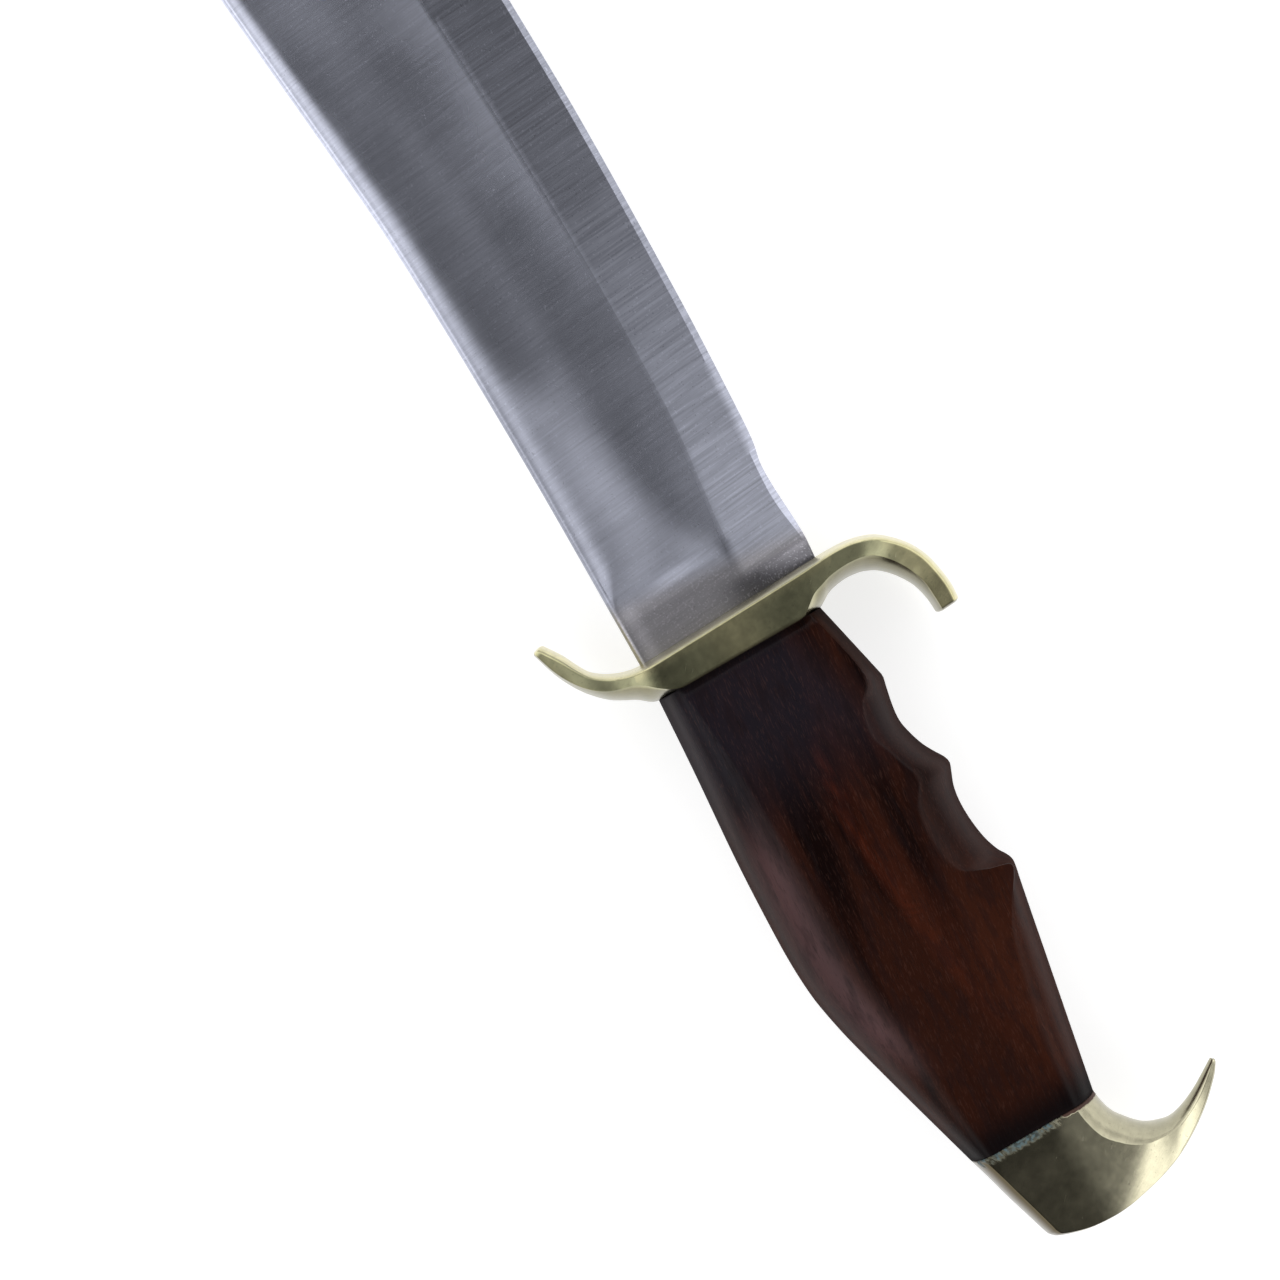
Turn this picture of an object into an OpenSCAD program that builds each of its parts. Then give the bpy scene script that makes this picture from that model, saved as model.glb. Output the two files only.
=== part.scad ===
// Fixed-blade bowie knife: brass S-guard, finger-grooved rosewood grip on a hidden tang, brass beaked pommel.
// Millimetres. +X runs to the tip, +Y to the spine, +Z up. The origin is the middle of the guard's lower side
// face, which is the face that the knife lies on.

/* [Blade] */
// Length from the guard to the tip
blade_len = 289; // [240:1:330]
// Thickness of the steel at the guard
blade_t = 5; // [4:0.1:6]
// Half-thickness left where the sharpening bevel starts
bevel_half_t = 0.55; // [0.3:0.05:0.9]
// Depth of the hollow grind on each side
hollow_depth = 0.8; // [0:0.05:0.9]
// How far each side is rolled off beside the spine
spine_roll = 0.6; // [0:0.1:0.7]
// Radius of the spine's rounded corners
spine_round = 1.2; // [0.6:0.1:1.6]

/* [Tang] */
// Length of the flat stick tang behind the guard
tang_len = 62.7; // [40:0.1:80]
// Width of the tang where it leaves the guard
tang_w = 18; // [14:1:18]
// Width of the tang at its welded end
tang_end_w = 10; // [8:1:14]
// Thickness of the tang
tang_t = 4.6; // [3.6:0.1:5]
// Diameter of the threaded rod
rod_d = 6; // [5:1:6]
// Pitch of its thread
rod_pitch = 1; // [0.8:0.1:1.25]

/* [Guard] */
// Width across the guard's two side faces
guard_w = 28; // [26:1:32]
// How far the guard's front face bulges
guard_edge = 1.5; // [0.3:0.1:1.8]

/* [Grip] */
// Length of the wood
grip_len = 108; // [100:1:120]
// Thickness of the wood at its fullest
grip_t = 26; // [24:1:28]
// Width of the slot for the tang
slot_w = 20; // [19:1:21]
// Height of that slot
slot_t = 7; // [6:0.5:8]
// Diameter of the bore for the rod
bore_d = 8; // [7:0.5:9]

/* [Pommel] */
// Diameter of the pommel's pocket
pocket_d = 14; // [13:0.5:15]
// Depth of that pocket
pocket_depth = 10; // [9:0.5:12]

/* [Fasteners] */
// Width across the nut's flats
nut_af = 10; // [9:0.5:10]
// Height of the nut
nut_h = 5; // [4:0.5:6]
// Outside diameter of the washer
washer_d = 12; // [11:0.5:12.5]
// Thickness of the washer
washer_t = 1.6; // [1:0.1:2]

/* [Hidden] */
$fn = 64;

steel = [0.62, 0.63, 0.66];
brass = [0.70, 0.65, 0.42];
rosewood = [0.20, 0.10, 0.08];
zinc = [0.75, 0.75, 0.72];
epoxy = [0.12, 0.11, 0.10];

seat_x = -5.3;                          // guard's rear face, where the wood starts
wood_end_x = seat_x - grip_len;         // end of the wood, where the pommel starts
tang_end_x = seat_x - tang_len;         // tang's welded end, where the rod starts
nut_x = wood_end_x - washer_t;          // front face of the nut
rod_end_x = nut_x - nut_h - 2;          // two threads stand out of the nut
shoulder_x = 3.03;                      // guard's front face at y = 0
shoulder_slope = -0.033;                // how far that face moves in X for each mm in Y
washer_play = 0.4;                      // washer's hole is this much wider than the rod

// Angles at which crowned edges meet the side faces, where 90 blends into them smoothly
guard_crease = 55;
back_crease = 88;
pommel_crease = [70, 58];

blade_k = blade_len / 289;              // stretches the blade's outline lengthwise
grip_k = grip_len / 108;                // stretches the grip's outline lengthwise

// Blade outlines, [distance along X, Y]
spine_line = [[3, 20], [30, 19.8], [50, 19.8], [75, 20.2], [100, 21.1], [120, 22.7], [150, 25.4], [185, 28.2],
    [203, 29], [212, 28.4], [228, 25.9], [250, 23], [272, 21.2], [292, 20.3]];
edge_line = [[3, -20.1], [9, -20.5], [20, -20], [25, -20.1], [29, -20.9], [35, -21.4], [60, -22.5],
    [100, -23.2], [128, -22.8], [155, -22.2], [190, -19.4], [222, -13.5], [250, -5], [272, 5], [285, 13],
    [292, 19]];
bevel_line = [[3, -19.9], [8, -19.8], [15, -18.9], [20, -18.7], [30, -19.4], [40, -20.2], [60, -21.2],
    [100, -21.9], [128, -21.5], [155, -20.8], [190, -17.9], [222, -12], [250, -3.6], [272, 6.4], [285, 14.3],
    [292, 19.25]];
ridge_line = [[3, -6], [7, -6.3], [20, -7.2], [40, -9.4], [60, -10], [80, -10.1], [110, -9.2], [136, -8.1],
    [160, -6.8], [190, -4], [222, 1.2], [250, 7.6], [272, 13.8], [285, 17.4], [292, 19.5]];
spine_band = [[3, 1.4], [14, 1.4], [24, 5.5], [90, 5.5], [150, 4.2], [195, 3], [215, 5], [240, 7], [270, 3.6],
    [285, 1.6], [292, 0.5]];
swedge_share = [[3, 0], [195, 0], [215, 0.5], [240, 0.8], [292, 0.8]];   // how far the clip is thinned
taper_share = [[3, 1], [120, 0.96], [230, 0.78], [275, 0.5], [288, 0.26], [292, 0.16]];
ricasso_end = 8.5;                      // primary bevel is complete from here on
plunge = [12, 17];                      // hollow grind starts and is complete
hollow_steps = 6;                       // flats across the hollow grind
swedge_half_t = 0.35;                   // half-thickness that the clip is thinned towards
blade_rings = [0, 1.5, 3, 4.5, 6, 9, 11, 13, 15, 18, each [22:4:34], each [40:8:192], each [198:6:282],
    285, 287, 289];

// Guard stations from the finger hook to the spine quillon: front point, rear ridge point, rear crown,
// half-width share
guard_stations = [
    [-17.3, -40.3, -17.6, -36.1, 0.8, 0.62], [-14, -40.5, -14.4, -36, 0.9, 0.63],
    [-10, -40, -11, -35.7, 1.4, 0.66], [-6.5, -39.1, -8.4, -34.8, 1.7, 0.70],
    [-3.2, -37.4, -5.6, -33.3, 2.1, 0.75], [-0.5, -35.1, -3.2, -31.4, 2.5, 0.80],
    [1.6, -32.6, -1.6, -29.5, 2.9, 0.86], [2.8, -30, -0.8, -27.4, 2.9, 0.91],
    [3.6, -26.5, -0.5, -24.2, 2.8, 0.95], [3.78, -22.6, -0.8, -20.6, 3, 0.98],
    [3.69, -19.9, -1.5, -18.2, 3.5, 0.993], [3.6, -17.2, -2.4, -15.8, 3.7, 1],
    [3.5, -14.2, -4.5, -13, 2, 1], [3.4, -11.2, -5.3, -10.8, 1, 1],
    [3.03, 0, -5.5, 0, 0.2, 1], [2.6, 13, -5.4, 13, 0.8, 1],
    [2.49, 16.2, -4.7, 16.4, 1.2, 0.997], [2.42, 18.5, -3.2, 18.9, 2.4, 0.987],
    [2.5, 20.6, -1.4, 21, 3.6, 0.968], [2.8, 22.6, -0.2, 23.2, 3, 0.935],
    [3.5, 24.8, 0.4, 25.5, 2.4, 0.88], [4.7, 27.1, 1.3, 27.9, 1.9, 0.82],
    [6.4, 29.2, 2.9, 30.3, 1.3, 0.75], [8.9, 30.7, 5.7, 32.8, 0.8, 0.67],
    [11.9, 32.2, 9.7, 35, 0.5, 0.59], [15.6, 34.7, 14.9, 36.7, 0.4, 0.50]];
seat_y = [-17, 21];                     // stretch of the guard's rear that is dressed flat for the wood

// Grip outlines, [distance behind the guard, value]
grip_back = [[0, 20.2], [15, 21.2], [35, 22.8], [50, 23.5], [58, 23.6], [65, 23.2], [70, 22.4], [76, 21.1],
    [90, 17.4], [108, 12.4]];
grip_belly = [[0, -16.1], [8, -17.9], [16.5, -19.8], [17.7, -20], [19.5, -19.6], [24, -18.7], [27, -18.5],
    [30, -19.1], [33, -20.1], [35.6, -21.5], [37.2, -22.5], [38.7, -22.9], [40.4, -22.3], [43, -21.3],
    [46, -20.8], [50, -20.8], [54.6, -21.4], [58, -22.5], [60, -23.7], [61.2, -24], [65, -23.4],
    [108, -15.1]];
// Width of the belly's rolled flank, which widens in the two finger grooves
belly_crown = [[0, 2.8], [15, 3], [17.7, 4.4], [20, 6.1], [26, 6.7], [31, 6], [36, 6.6], [38.7, 7.8],
    [43, 8.8], [52, 9.2], [57, 8.6], [59.5, 5], [60.6, 1.6], [62, 1.2], [66, 3], [74, 6], [90, 7],
    [108, 5.2]];
// Angle at which that flank meets the side face, where 90 blends into it smoothly
belly_crease = [[0, 70], [20, 68], [61, 66], [68, 80], [80, 88], [108, 80]];
back_crown = [[0, 5], [12, 7], [25, 9], [38, 10.5], [58, 12], [72, 11.5], [86, 9], [108, 4]];
grip_half = [[0, 0.9], [2.2, 0.96], [4.4, 0.972], [25, 0.98], [50, 1], [75, 0.94], [92, 0.83],
    [108, 0.77]];
grip_rings = [0, 1, 2.2, 3.3, 4.4, each [7:3:16], 17.1, 17.7, 18.5, each [20:2.5:35], 36.4, 37.5, 38.7, 40,
    42, 44, each [47:3:56], 58, 59.2, 60, 60.6, 61.2, 62, 63.5, each [66:3.5:104.5], 108];

// Pommel stations from the wood round to the beak: outer point, inner point, half-width, outer crown,
// inner crown
pommel_stations = [
    [0, 12.4, 0, -15.1, 10, 2.2, 5], [-4.7, 11, -2.2, -15.4, 9.84, 2.2, 5],
    [-9.5, 9.7, -4.2, -15.9, 9.68, 2.2, 5], [-14.7, 8.1, -5.6, -16.5, 9.53, 2.1, 5],
    [-18.6, 6.9, -6.5, -17.1, 9.41, 2, 4.9],
    [-19.9, 6.3, -7, -17.5, 9.36, 1.8, 4.8], [-20.8, 4.8, -7.5, -17.9, 9.3, 1.3, 4.7],
    [-22.2, 0, -8.8, -19, 9.13, 1.1, 4.4], [-22.7, -5, -10.1, -20.4, 8.88, 1, 4],
    [-22.6, -9, -11, -22, 8.47, 1, 3.6], [-22, -13, -11.6, -23.8, 7.8, 1, 3.1],
    [-21, -18, -11.9, -25.4, 6.7, 1, 2.7], [-19.4, -23, -11.6, -27.4, 5.2, 0.9, 2.4],
    [-16.8, -28, -10.7, -29.9, 3.9, 0.8, 2], [-13.6, -32.6, -9.2, -32.9, 2.8, 0.7, 1.6],
    [-9.9, -36.6, -7.3, -36, 2, 0.6, 1], [-7.6, -38.4, -6.3, -37.6, 1.5, 0.4, 0.6],
    [-6.7, -38.7, -6.1, -38, 1.2, 0.25, 0.3]];

// ---- Curves and lofts ----

function clamped(v, low, high) = max(low, min(high, v));
function fade(x, low, high) = let (t = clamped((x - low) / (high - low), 0, 1)) t * t * (3 - 2 * t);
function part_way(a, b, t) = a + (b - a) * t;

// Segment of a table that holds x
function segment(table, x, i = 0) = i >= len(table) - 2 || x < table[i + 1][0] ? i : segment(table, x, i + 1);

// Slope at a table's point, from its neighbours
function slope(table, i) =
    let (a = table[max(0, i - 1)], b = table[min(len(table) - 1, i + 1)]) (b[1] - a[1]) / (b[0] - a[0]);

// Smooth curve through a table of [x, value]
function curve(table, x) =
    let (i = segment(table, x), a = table[i], b = table[i + 1], run = b[0] - a[0],
        t = clamped((x - a[0]) / run, 0, 1), u = 1 - t)
    a[1] * u * u * (1 + 2 * t) + slope(table, i) * run * t * u * u
    + b[1] * t * t * (1 + 2 * u) - slope(table, i + 1) * run * t * t * u;

// Smooth curve through whole rows of numbers, with each gap cut into steps
function row_at(rows, i) = rows[clamped(i, 0, len(rows) - 1)];
function blend_rows(a, b, c, d, t) =
    0.5 * (2 * b + (c - a) * t + (2 * a - 5 * b + 4 * c - d) * t * t + (3 * b - a - 3 * c + d) * t * t * t);
function smooth_rows(rows, steps) = [
    for (i = [0:len(rows) - 2], s = [0:steps - 1])
        blend_rows(row_at(rows, i - 1), rows[i], rows[i + 1], row_at(rows, i + 2), s / steps),
    rows[len(rows) - 1]];

// Crown of a slab's end: [distance in from the end, height], up to where it meets the side face.
// A limit of 90 meets it smoothly, and a smaller one leaves a crease.
function crown(length, height, limit, steps) = [
    for (i = [0:steps]) let (q = limit * i / steps)
        [length * (1 - cos(q)) / (1 - cos(limit)), height * sin(q) / sin(limit)]];

// Outline of a slab that spans from point a to point b, crowned at both ends
function slab(a, b, half, crown_a, limit_a, crown_b, limit_b, steps) =
    let (span = norm(b - a), along = (b - a) / span,
        near = crown(crown_a, half, limit_a, steps), far = crown(crown_b, half, limit_b, steps),
        top = concat(near, [for (i = [steps:-1:0]) [span - far[i][0], far[i][1]]]))
    [for (p = mirrored(top)) [a[0] + along[0] * p[0], a[1] + along[1] * p[0], p[1]]];

// Closes a half outline that starts and ends at height 0
function mirrored(top) = concat(top, [for (i = [len(top) - 2:-1:1]) [top[i][0], -top[i][1]]]);

// Solid skin over rings of points, each turning right-handed about the direction that the rings come from
module skin(rings) {
    count = len(rings[0]);
    last = (len(rings) - 1) * count;
    walls = [for (r = [0:len(rings) - 2], j = [0:count - 1])
        let (k = (j + 1) % count, p = r * count, q = p + count)
        each [[p + j, p + k, q + j], [p + k, q + k, q + j]]];
    // Each end is a ladder of triangles between a top point and the one below it
    ladder = [for (j = [0:count / 2 - 1]) let (k = j + 1, low_j = (count - j) % count, low_k = count - k)
        each [if (j < count / 2 - 1) [j, k, low_k], if (j > 0) [j, j == count / 2 - 1 ? k : low_k, low_j]]];
    polyhedron(
        points = [for (ring = rings) each ring],
        faces = [each [for (t = ladder) [t[2], t[1], t[0]]], each walls,
            each [for (t = ladder) [for (i = t) last + i]]]);
}

// Lifts the knife's middle plane so that the guard's side face lies at height 0
module raised() translate([0, 0, guard_w / 2]) children();

// Turns +Z to point back along -X, starting at x
module backwards(x) translate([x, 0, 0]) rotate([0, -90, 0]) children();

// ---- Blade ----

// Share of the hollow's depth across the blade: it starts flush beside the spine and meets the ridge
// at an angle
function hollowed(f) = pow(sin(180 * f), f < 0.5 ? 2 : 1);

// Half outline of the blade's section at a place along its outline, from the spine to the edge, as [Y, Z]
function blade_half(x) =
    let (full = blade_t / 2 * curve(taper_share, x), clip = curve(swedge_share, x),
        flat_z = part_way(full, swedge_half_t, clip), corner = min(spine_round, flat_z * 0.6),
        spine = curve(spine_line, x), ridge = curve(ridge_line, x), bevel = curve(bevel_line, x),
        edge = curve(edge_line, x), shoulder = spine - corner,
        band = min(shoulder - 0.2, spine - curve(spine_band, x)),
        hollow = fade(x, plunge[0], plunge[1]),
        roll = spine_roll * min(1, (shoulder - band) / 3.4) * (1 - clip) * hollow,
        top = flat_z - roll,
        ground = fade(x, 3.5, ricasso_end),
        dip = hollow_depth * hollow * full * 2 / blade_t,
        bevel_z = part_way(full * 0.97, min(bevel_half_t, full * 0.7), ground),
        ridge_z = full * part_way(1, 0.94, ground))
    concat(
        [[spine, 0], [spine - corner * 0.08, top - corner], [spine - corner * 0.35, top - corner * 0.35],
            [shoulder, top], [(shoulder + band) / 2, (flat_z + full) / 2 - roll / 4], [band, full]],
        [for (i = [1:hollow_steps - 1]) let (f = i / hollow_steps)
            [part_way(band, ridge, f), part_way(full, ridge_z, f) - dip * hollowed(f)]],
        [[ridge, ridge_z], [part_way(ridge, bevel, 0.5), part_way(ridge_z, bevel_z, 0.5)], [bevel, bevel_z],
            [edge + 0.12, part_way(full * 0.9, 0.05, ground)], [edge, 0]]);

// The first ring leans with the guard's front face
function blade_ring(step) =
    [for (p = mirrored(blade_half(shoulder_x + step)))
        [step == 0 ? shoulder_x + shoulder_slope * p[0] : shoulder_x + step * blade_k, p[0], p[1]]];

module tang() {
    root_x = shoulder_x + 4;
    translate([0, 0, -tang_t / 2])
        linear_extrude(tang_t)
            polygon([[root_x, tang_w / 2], [seat_x, tang_w / 2], [tang_end_x, tang_end_w / 2],
                [tang_end_x, -tang_end_w / 2], [seat_x, -tang_w / 2], [root_x, -tang_w / 2]]);
}

module blade() {
    color(steel) raised() union() {
        skin([for (i = [len(blade_rings) - 1:-1:0]) blade_ring(blade_rings[i])]);
        tang();
    }
}

// ---- Guard ----

function seated(p) = p[1] > seat_y[0] && p[1] < seat_y[1] ? [max(p[0], seat_x), p[1], p[2]] : p;

function guard_ring(s) =
    let (front = [s[0], s[1]], ridge = [s[2], s[3]],
        rear = ridge + s[4] * (ridge - front) / norm(ridge - front))
    [for (p = slab(front, rear, guard_w / 2 * min(1, s[5]), guard_edge, 90, s[4], guard_crease, 4))
        seated(p)];

module guard() {
    color(brass) raised() difference() {
        skin([for (s = smooth_rows(guard_stations, 2)) guard_ring(s)]);
        translate([seat_x - 1, -tang_w / 2, -tang_t / 2]) cube([shoulder_x - seat_x + 3, tang_w, tang_t]);
    }
}

// ---- Grip ----

function grip_ring(u) =
    let (x = seat_x - u * grip_k)
    slab([x, curve(grip_back, u)], [x, curve(grip_belly, u)], grip_t / 2 * curve(grip_half, u),
        curve(back_crown, u), back_crease, curve(belly_crown, u), curve(belly_crease, u), 8);

// Slot for the tang and bore for the rod, right through the wood
module tang_cavity() {
    slot_len = tang_len + 2;
    backwards(seat_x) linear_extrude(slot_len) {
        square([slot_t, slot_w - slot_t], center = true);
        for (side = [-1, 1]) translate([0, side * (slot_w - slot_t) / 2]) circle(d = slot_t);
    }
    backwards(seat_x) cylinder(d = bore_d, h = grip_len);
}

module grip() {
    color(rosewood) raised() difference() {
        skin([for (u = grip_rings) grip_ring(u)]);
        tang_cavity();
    }
}

// ---- Inside the grip ----

module rod_bore(from_x) backwards(from_x) cylinder(d = rod_d, h = from_x - rod_end_x);

module tang_rod() {
    depth = 0.6 * rod_pitch;
    turns = floor((tang_end_x - rod_end_x) / rod_pitch);
    color(zinc) raised() backwards(tang_end_x) rotate_extrude()
        polygon(concat([[0, 0]],
            [for (i = [0:turns - 1]) each
                [[rod_d / 2 - depth, i * rod_pitch], [rod_d / 2, (i + 0.5) * rod_pitch]]],
            [[rod_d / 2 - depth, turns * rod_pitch], [0, turns * rod_pitch]]));
}

module tang_bedding() {
    color(epoxy) raised() difference() {
        tang_cavity();
        tang();
        rod_bore(tang_end_x);
    }
}

module clamp_washer() {
    color(zinc) raised() backwards(wood_end_x) difference() {
        cylinder(d = washer_d, h = washer_t);
        cylinder(d = rod_d + washer_play, h = washer_t);
    }
}

module clamp_nut() {
    corner_r = nut_af / sqrt(3);
    chamfer = 0.5;
    color(zinc) raised() backwards(nut_x) difference() {
        intersection() {
            cylinder(r = corner_r, h = nut_h, $fn = 6);
            rotate_extrude() polygon([[0, 0], [corner_r - 2 * chamfer, 0], [corner_r, chamfer],
                [corner_r, nut_h - chamfer], [corner_r - 2 * chamfer, nut_h], [0, nut_h]]);
        }
        cylinder(d = rod_d, h = nut_h);
    }
}

// ---- Pommel ----

function pommel_ring(s) =
    slab([wood_end_x + s[0], s[1]], [wood_end_x + s[2], s[3]], s[4], s[5], pommel_crease[0],
        s[6], pommel_crease[1], 5);

module pommel_pocket() backwards(wood_end_x) cylinder(d = pocket_d, h = pocket_depth);

module pommel() {
    color(brass) raised() difference() {
        skin([for (s = smooth_rows(pommel_stations, 2)) pommel_ring(s)]);
        pommel_pocket();
    }
}

module pommel_epoxy() {
    color(epoxy) raised() difference() {
        pommel_pocket();
        backwards(wood_end_x) cylinder(d = washer_d, h = washer_t);
        backwards(nut_x) cylinder(r = nut_af / sqrt(3), h = nut_h, $fn = 6);
        rod_bore(nut_x);
    }
}

blade();
guard();
grip();
tang_rod();
tang_bedding();
clamp_washer();
clamp_nut();
pommel();
pommel_epoxy();
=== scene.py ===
import math

import bmesh
import bpy
import numpy as np
from mathutils import Matrix, Vector, noise


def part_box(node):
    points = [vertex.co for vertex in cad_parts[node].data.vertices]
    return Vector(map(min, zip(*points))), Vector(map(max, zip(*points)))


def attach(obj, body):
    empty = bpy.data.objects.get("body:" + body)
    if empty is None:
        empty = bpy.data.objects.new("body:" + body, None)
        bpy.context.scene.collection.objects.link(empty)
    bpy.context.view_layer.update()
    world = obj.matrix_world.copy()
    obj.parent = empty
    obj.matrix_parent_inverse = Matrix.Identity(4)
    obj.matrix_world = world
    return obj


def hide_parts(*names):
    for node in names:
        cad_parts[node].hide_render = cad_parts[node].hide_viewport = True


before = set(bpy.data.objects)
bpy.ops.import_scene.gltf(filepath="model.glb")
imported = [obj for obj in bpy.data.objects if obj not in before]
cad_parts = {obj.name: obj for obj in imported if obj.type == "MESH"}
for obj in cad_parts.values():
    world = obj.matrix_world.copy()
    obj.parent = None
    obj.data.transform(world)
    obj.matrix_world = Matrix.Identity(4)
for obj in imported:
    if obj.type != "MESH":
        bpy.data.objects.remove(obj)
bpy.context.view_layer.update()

# ----------------------------------------------------------------------------------------------------
# Driving dimensions, in millimetres, in the frame of the CAD model. Heights of outlines are measured from the
# knife's middle plane, which is at MID_Z.
# ----------------------------------------------------------------------------------------------------
MM = 0.001

GUARD_HALF = (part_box("guard")[1].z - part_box("guard")[0].z) / 2 / MM
GRIP_HALF = (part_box("grip")[1].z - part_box("grip")[0].z) / 2 / MM
MID_Z = GUARD_HALF
SEAT_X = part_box("grip")[1].x / MM                 # guard's rear face, where the wood starts
WOOD_END_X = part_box("grip")[0].x / MM             # end of the wood, where the pommel starts
SHOULDER_X = 3.03                                 # guard's front face at y = 0
SHOULDER_SLOPE = -0.033                           # how far that face moves in x for each millimetre in y
BLADE_LEN = 289

BLADE_HALF = 2.5
BEVEL_HALF = 0.55                                 # left where the sharpening bevel starts
SWEDGE_HALF = 0.35                                # what the clip is thinned towards
HOLLOW_DEPTH = 0.8
SPINE_ROLL = 0.6                                  # how far each side is rolled off beside the spine
SPINE_ROUND = 1.2
RICASSO_END = 8.5                                 # primary bevel is complete from here on
PLUNGE = (12, 17)                                 # hollow grind starts and is complete

TANG_HALF_W, TANG_END_HALF_W, TANG_HALF_T = 9, 5, 2.3
TANG_END_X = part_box("tang_rod")[1].x / MM
SLOT_W, SLOT_T, BORE_D = 20, 7, 8
POCKET_D, POCKET_DEPTH = 14, 10

# Blade outlines, (x, y)
SPINE = [(3, 20), (30, 19.8), (50, 19.8), (75, 20.2), (100, 21.1), (120, 22.7), (150, 25.4), (185, 28.2),
         (203, 29), (212, 28.4), (228, 25.9), (250, 23), (272, 21.2), (292, 20.3)]
EDGE = [(3, -20.1), (9, -20.5), (20, -20), (25, -20.1), (29, -20.9), (35, -21.4), (60, -22.5), (100, -23.2),
        (128, -22.8), (155, -22.2), (190, -19.4), (222, -13.5), (250, -5), (272, 5), (285, 13), (292, 19)]
BEVEL = [(3, -19.9), (8, -19.8), (15, -18.9), (20, -18.7), (30, -19.4), (40, -20.2), (60, -21.2),
         (100, -21.9), (128, -21.5), (155, -20.8), (190, -17.9), (222, -12), (250, -3.6), (272, 6.4),
         (285, 14.3), (292, 19.25)]
RIDGE = [(3, -6), (7, -6.3), (20, -7.2), (40, -9.4), (60, -10), (80, -10.1), (110, -9.2), (136, -8.1),
         (160, -6.8), (190, -4), (222, 1.2), (250, 7.6), (272, 13.8), (285, 17.4), (292, 19.5)]
SPINE_BAND = [(3, 1.4), (14, 1.4), (24, 5.5), (90, 5.5), (150, 4.2), (195, 3), (215, 5), (240, 7), (270, 3.6),
              (285, 1.6), (292, 0.5)]
CLIP_SHARE = [(3, 0), (195, 0), (215, 0.5), (240, 0.8), (292, 0.8)]
TAPER = [(3, 1), (120, 0.96), (230, 0.78), (275, 0.5), (288, 0.26), (292, 0.16)]

# Guard stations from the finger hook to the spine quillon: front x, y, rear ridge x, y, rear crown,
# half-width share
GUARD = [(-17.3, -40.3, -17.6, -36.1, 0.8, 0.62), (-14, -40.5, -14.4, -36, 0.9, 0.63),
         (-10, -40, -11, -35.7, 1.4, 0.66), (-6.5, -39.1, -8.4, -34.8, 1.7, 0.70),
         (-3.2, -37.4, -5.6, -33.3, 2.1, 0.75), (-0.5, -35.1, -3.2, -31.4, 2.5, 0.80),
         (1.6, -32.6, -1.6, -29.5, 2.9, 0.86), (2.8, -30, -0.8, -27.4, 2.9, 0.91),
         (3.6, -26.5, -0.5, -24.2, 2.8, 0.95), (3.78, -22.6, -0.8, -20.6, 3, 0.98),
         (3.69, -19.9, -1.5, -18.2, 3.5, 0.993), (3.6, -17.2, -2.4, -15.8, 3.7, 1),
         (3.5, -14.2, -4.5, -13, 2, 1), (3.4, -11.2, -5.3, -10.8, 1, 1),
         (3.03, 0, -5.5, 0, 0.2, 1), (2.6, 13, -5.4, 13, 0.8, 1),
         (2.49, 16.2, -4.7, 16.4, 1.2, 0.997), (2.42, 18.5, -3.2, 18.9, 2.4, 0.987),
         (2.5, 20.6, -1.4, 21, 3.6, 0.968), (2.8, 22.6, -0.2, 23.2, 3, 0.935),
         (3.5, 24.8, 0.4, 25.5, 2.4, 0.88), (4.7, 27.1, 1.3, 27.9, 1.9, 0.82),
         (6.4, 29.2, 2.9, 30.3, 1.3, 0.75), (8.9, 30.7, 5.7, 32.8, 0.8, 0.67),
         (11.9, 32.2, 9.7, 35, 0.5, 0.59), (15.6, 34.7, 14.9, 36.7, 0.4, 0.50)]
SEAT_Y = (-17, 21)                                # stretch of the guard's rear dressed flat for the wood
GUARD_EDGE = 1.5

# Angles at which crowned edges meet the side faces, where 90 blends into them smoothly
GUARD_CREASE = 55
BACK_CREASE = 88
POMMEL_CREASE = (70, 58)

# Grip outlines, (distance behind the guard, value)
GRIP_BACK = [(0, 20.2), (15, 21.2), (35, 22.8), (50, 23.5), (58, 23.6), (65, 23.2), (70, 22.4), (76, 21.1),
             (90, 17.4), (108, 12.4)]
GRIP_BELLY = [(0, -16.1), (8, -17.9), (16.5, -19.8), (17.7, -20), (19.5, -19.6), (24, -18.7), (27, -18.5),
              (30, -19.1), (33, -20.1), (35.6, -21.5), (37.2, -22.5), (38.7, -22.9), (40.4, -22.3),
              (43, -21.3), (46, -20.8), (50, -20.8), (54.6, -21.4), (58, -22.5), (60, -23.7), (61.2, -24),
              (65, -23.4), (108, -15.1)]
BELLY_CROWN = [(0, 2.8), (15, 3), (17.7, 4.4), (20, 6.1), (26, 6.7), (31, 6), (36, 6.6), (38.7, 7.8),
               (43, 8.8), (52, 9.2), (57, 8.6), (59.5, 5), (60.6, 1.6), (62, 1.2), (66, 3), (74, 6), (90, 7),
               (108, 5.2)]
BELLY_CREASE = [(0, 70), (20, 68), (61, 66), (68, 80), (80, 88), (108, 80)]
BACK_CROWN = [(0, 5), (12, 7), (25, 9), (38, 10.5), (58, 12), (72, 11.5), (86, 9), (108, 4)]
GRIP_SHARE = [(0, 0.9), (2.2, 0.96), (4.4, 0.972), (25, 0.98), (50, 1), (75, 0.94), (92, 0.83), (108, 0.77)]

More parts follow.
